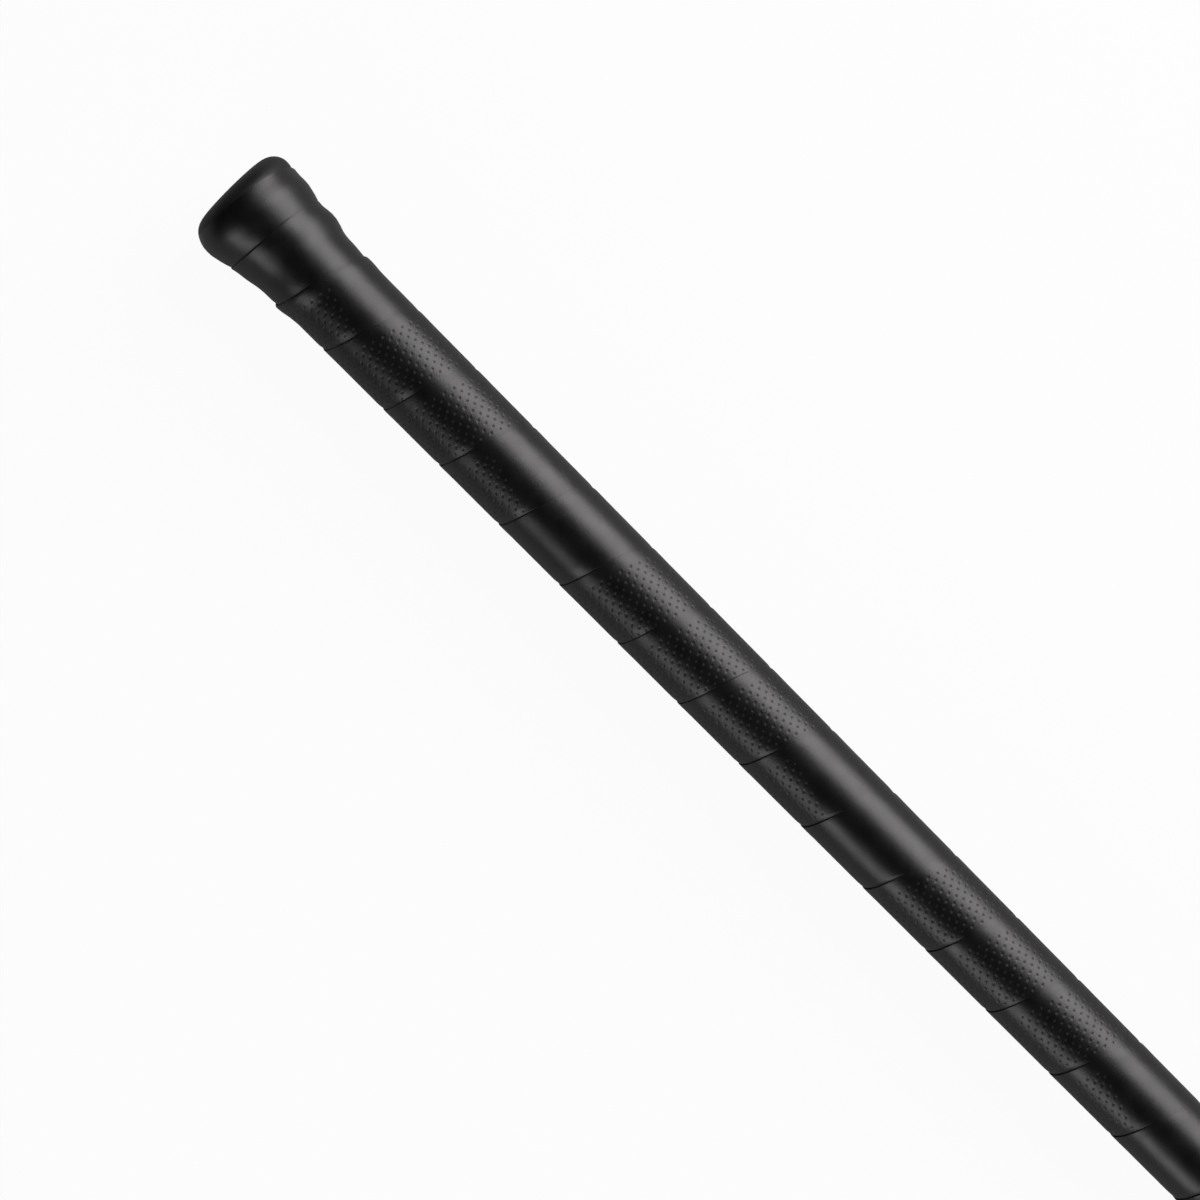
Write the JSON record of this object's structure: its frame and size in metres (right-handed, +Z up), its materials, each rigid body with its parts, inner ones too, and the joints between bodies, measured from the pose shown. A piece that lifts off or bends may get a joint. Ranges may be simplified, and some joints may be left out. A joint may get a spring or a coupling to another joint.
{
  "type": "floorball stick",
  "caption": "Floorball stick with a tapered tube shaft, flared end cap, overlapping wound grip and a curved moulded blade on a screwed hosel.",
  "frame": {"origin": "centre of the flat butt face of the end cap", "axes": "+X down the shaft from the butt to the blade, +Z up, the stick lying on its forehand side with the toe towards -Y"},
  "size_m": [1.1547, 0.2486, 0.0382],
  "materials": {
    "shaft_composite": "clear-coated dark fibre composite, satin gloss",
    "cap_rubber": "black moulded rubber, satin",
    "grip_tape": "black cushioned grip, satin, with rows of small round pits",
    "finishing_tape": "black stretch tape, satin",
    "blade_plastic": "black moulded plastic, fine eggshell texture",
    "screw_steel": "zinc-plated steel"
  },
  "bodies": {
    "root": {"shaft": "shaft_composite", "end_cap": "cap_rubber", "grip_tape": "grip_tape", "finishing_tape": "finishing_tape", "blade": "blade_plastic", "blade_screw_backhand": "screw_steel", "blade_screw_forehand": "screw_steel"}
  },
  "joints": []
}
